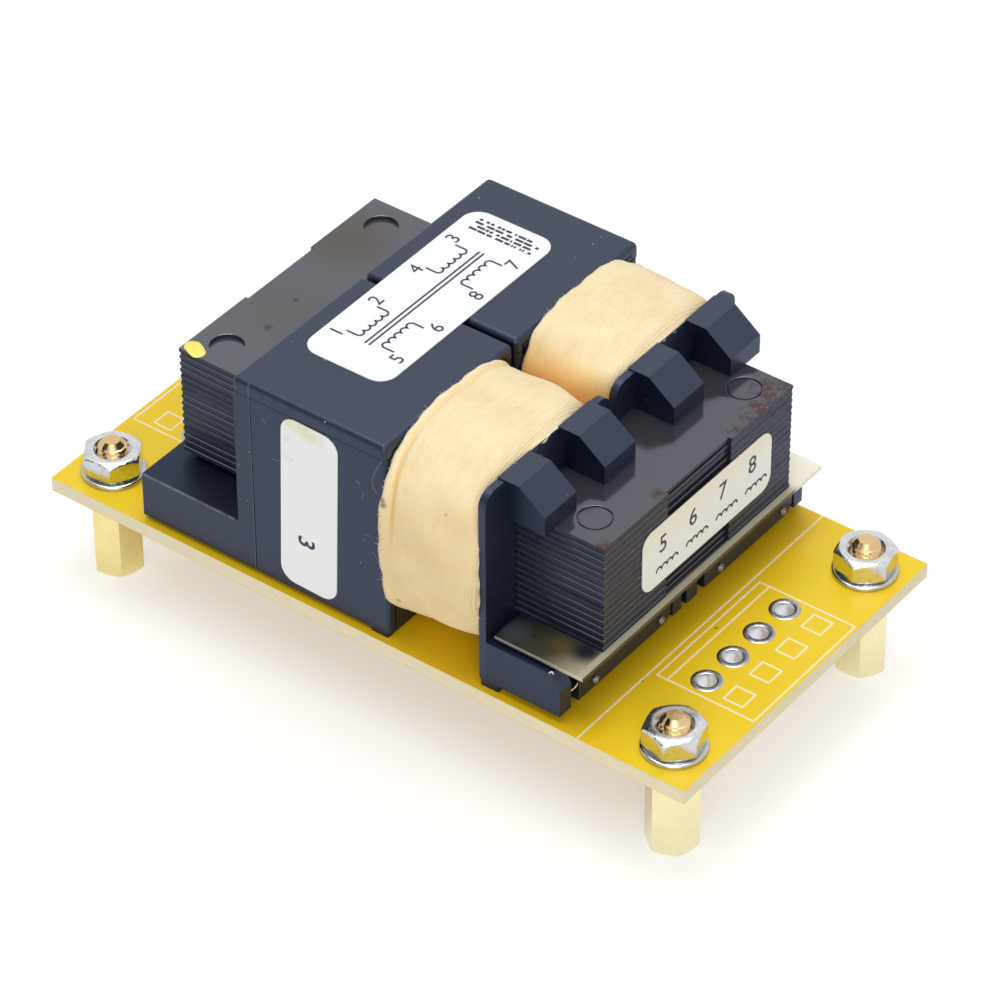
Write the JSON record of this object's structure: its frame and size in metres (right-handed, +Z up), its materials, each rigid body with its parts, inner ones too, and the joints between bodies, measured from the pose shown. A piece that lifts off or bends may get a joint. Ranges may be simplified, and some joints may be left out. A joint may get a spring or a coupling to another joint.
{
  "type": "laminated mains transformer",
  "caption": "Flat laminated two-leg mains transformer with covered input coils and taped output coils, on a small circuit board raised on threaded standoffs.",
  "frame": {"origin": "on the floor, at the centre of the four standoff feet, under the middle of the board", "axes": "+X along the board from the input end to the output end, +Y to the back, +Z up"},
  "size_m": [0.0758, 0.0431, 0.0359],
  "materials": {
    "board": "yellow solder mask over glass-fibre laminate, semi-gloss",
    "tinned": "tinned metal, satin",
    "brass": "turned brass, satin",
    "zinc": "bright zinc plating",
    "core_steel": "varnished electrical steel, satin",
    "card": "translucent ivory insulating card",
    "solder": "solder, bright",
    "bobbin_plastic": "moulded dark blue-black plastic, matt",
    "cover_plastic": "moulded dark blue-black plastic, fine texture",
    "copper": "enamelled copper wire",
    "tape": "woven cream adhesive tape",
    "label": "white label, bare apart from plain numbers and bars",
    "paint": "dab of yellow paint"
  },
  "bodies": {
    "root": {"circuit_board": "board", "output_sleeves": "tinned", "input_sleeves": "tinned", "standoffs": "brass", "washers": "zinc", "nuts": "zinc", "u_stack": "core_steel", "i_stack": "core_steel", "insulating_card": "card", "input_pins": "tinned", "output_pins": "tinned", "solder_joints": "solder", "bobbin_front": "bobbin_plastic", "bobbin_back": "bobbin_plastic", "input_cover_front": "cover_plastic", "input_cover_back": "cover_plastic", "input_winding_front": "copper", "input_winding_back": "copper", "output_winding_front": "copper", "output_winding_back": "copper", "output_tape_front": "tape", "output_tape_back": "tape", "top_label": "label", "side_label": "label", "end_label": "label", "paint_dot": "paint"}
  },
  "joints": []
}
